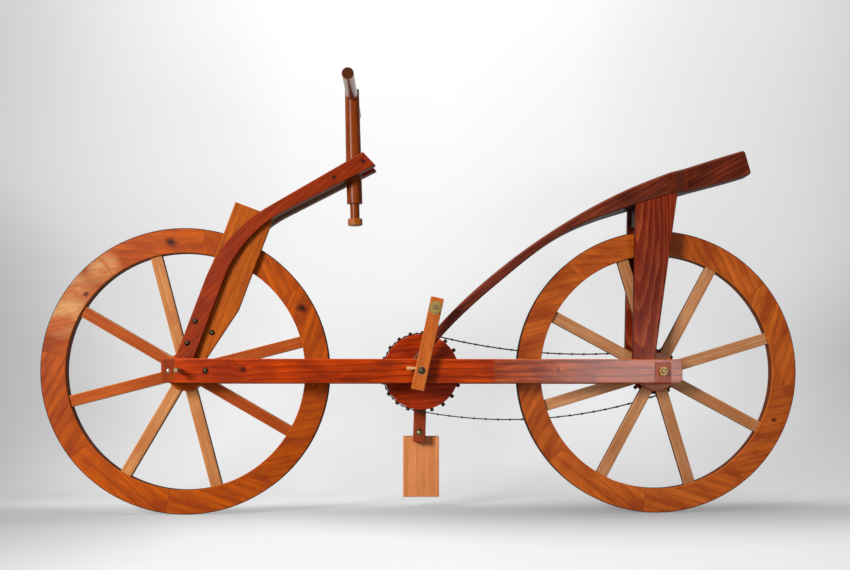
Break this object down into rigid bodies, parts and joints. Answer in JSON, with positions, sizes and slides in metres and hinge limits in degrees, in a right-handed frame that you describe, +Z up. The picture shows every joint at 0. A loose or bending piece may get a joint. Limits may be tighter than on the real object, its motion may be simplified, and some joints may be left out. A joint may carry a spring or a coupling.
{
  "type": "wooden bicycle",
  "caption": "Varnished wooden bicycle in the manner of an early drawing, with spoked wooden wheels, pegged chain drive, block pedal, arching saddle beam and short crossbar.",
  "frame": {"origin": "on the floor, midway between the wheels' outer edges and on the bicycle's middle plane", "axes": "X runs from the front wheel (-X) to the rear wheel (+X), Y from the near side (-Y) to the chain side (+Y), and Z up"},
  "size_m": [1.86, 0.43, 1.0466],
  "materials": {
    "rim_wood": "varnished beech, red-brown",
    "spoke_wood": "oiled pale wood",
    "hub_wood": "varnished",
    "beam_wood": "varnished, glossy",
    "cap_wood": "varnished",
    "core_wood": "oiled",
    "curve_wood": "varnished",
    "board_wood": "varnished",
    "saddle_wood": "dark stained and varnished",
    "post_wood": "turned and oiled",
    "bar_wood": "turned and oiled",
    "ring_wood": "varnished",
    "peg_wood": "dark stained",
    "crank_wood": "varnished",
    "pedal_wood": "oiled",
    "chain_metal": "darkened wire",
    "axle_metal": "turned",
    "nut_metal": "dull",
    "bolt_metal": "browned",
    "screw_metal": "bright"
  },
  "bodies": {
    "frame": {"near_beam_front": "beam_wood", "near_beam_rear": "beam_wood", "far_main_beam": "beam_wood", "front_end_caps": "cap_wood", "rear_axle_blocks": "cap_wood", "near_fork_board": "board_wood", "far_fork_board": "board_wood", "near_curved_beam": "curve_wood", "far_curved_beam": "curve_wood", "beam_core": "core_wood", "crown_block": "core_wood", "fork_dowels": "peg_wood", "near_upright": "saddle_wood", "far_upright": "saddle_wood", "saddle_beam": "saddle_wood", "saddle_block": "core_wood", "cross_ties": "core_wood", "crank_bearing_block": "core_wood", "wheel_axles": "axle_metal", "axle_nuts": "nut_metal", "dome_bolts": "bolt_metal", "end_screws": "screw_metal", "chain_pins": "chain_metal", "chain_rods": "chain_metal"},
    "front_wheel": {"front_felloe_1": "rim_wood", "front_felloe_2": "rim_wood", "front_felloe_3": "rim_wood", "front_felloe_4": "rim_wood", "front_felloe_5": "rim_wood", "front_felloe_6": "rim_wood", "front_felloe_7": "rim_wood", "front_felloe_8": "rim_wood", "front_spokes": "spoke_wood", "front_hub": "hub_wood"},
    "rear_wheel": {"rear_felloe_1": "rim_wood", "rear_felloe_2": "rim_wood", "rear_felloe_3": "rim_wood", "rear_felloe_4": "rim_wood", "rear_felloe_5": "rim_wood", "rear_felloe_6": "rim_wood", "rear_felloe_7": "rim_wood", "rear_felloe_8": "rim_wood", "rear_spokes": "spoke_wood", "rear_hub": "hub_wood", "sprocket_disc": "ring_wood", "sprocket_pegs": "peg_wood"},
    "crank": {"chainring_disc": "ring_wood", "chainring_pegs": "peg_wood", "crank_axle": "axle_metal", "near_crank_arm": "crank_wood", "far_crank_arm": "crank_wood", "arm_bolts": "bolt_metal", "arm_spacers": "crank_wood", "pedal_pins": "axle_metal", "pin_nut": "nut_metal"},
    "pedal": {"pedal_block": "pedal_wood", "pedal_ears": "pedal_wood"},
    "handlebar": {"handlebar_post": "post_wood", "handlebar_crossbar": "bar_wood", "handlebar_knob": "bar_wood"}
  },
  "joints": [
    {"name": "front_wheel_spin", "type": "hinge", "parent": "frame", "child": "front_wheel", "pos_m": [-0.58, 0, 0.35], "axis": [0, 1, 0], "continuous": true},
    {"name": "rear_wheel_spin", "type": "hinge", "parent": "frame", "child": "rear_wheel", "pos_m": [0.58, 0, 0.35], "axis": [0, 1, 0], "continuous": true, "deforming": ["chain_pins", "chain_rods"]},
    {"name": "crank_spin", "type": "hinge", "parent": "frame", "child": "crank", "pos_m": [-0.005, 0, 0.35], "axis": [0, 1, 0], "continuous": true, "deforming": ["chain_pins", "chain_rods"]},
    {"name": "pedal_swing", "type": "hinge", "parent": "crank", "child": "pedal", "pos_m": [-0.00901, 0.1695, 0.19705], "axis": [0, 1, 0], "continuous": true},
    {"name": "handlebar_swivel", "type": "hinge", "parent": "frame", "child": "handlebar", "pos_m": [-0.17148, 0, 0.84626], "axis": [-0.0244, 0, 0.9997], "range_deg": [-45, 45]}
  ],
  "couplings": [
    {"joint": "crank_spin", "follows": "rear_wheel_spin", "ratio": 0.6}
  ]
}
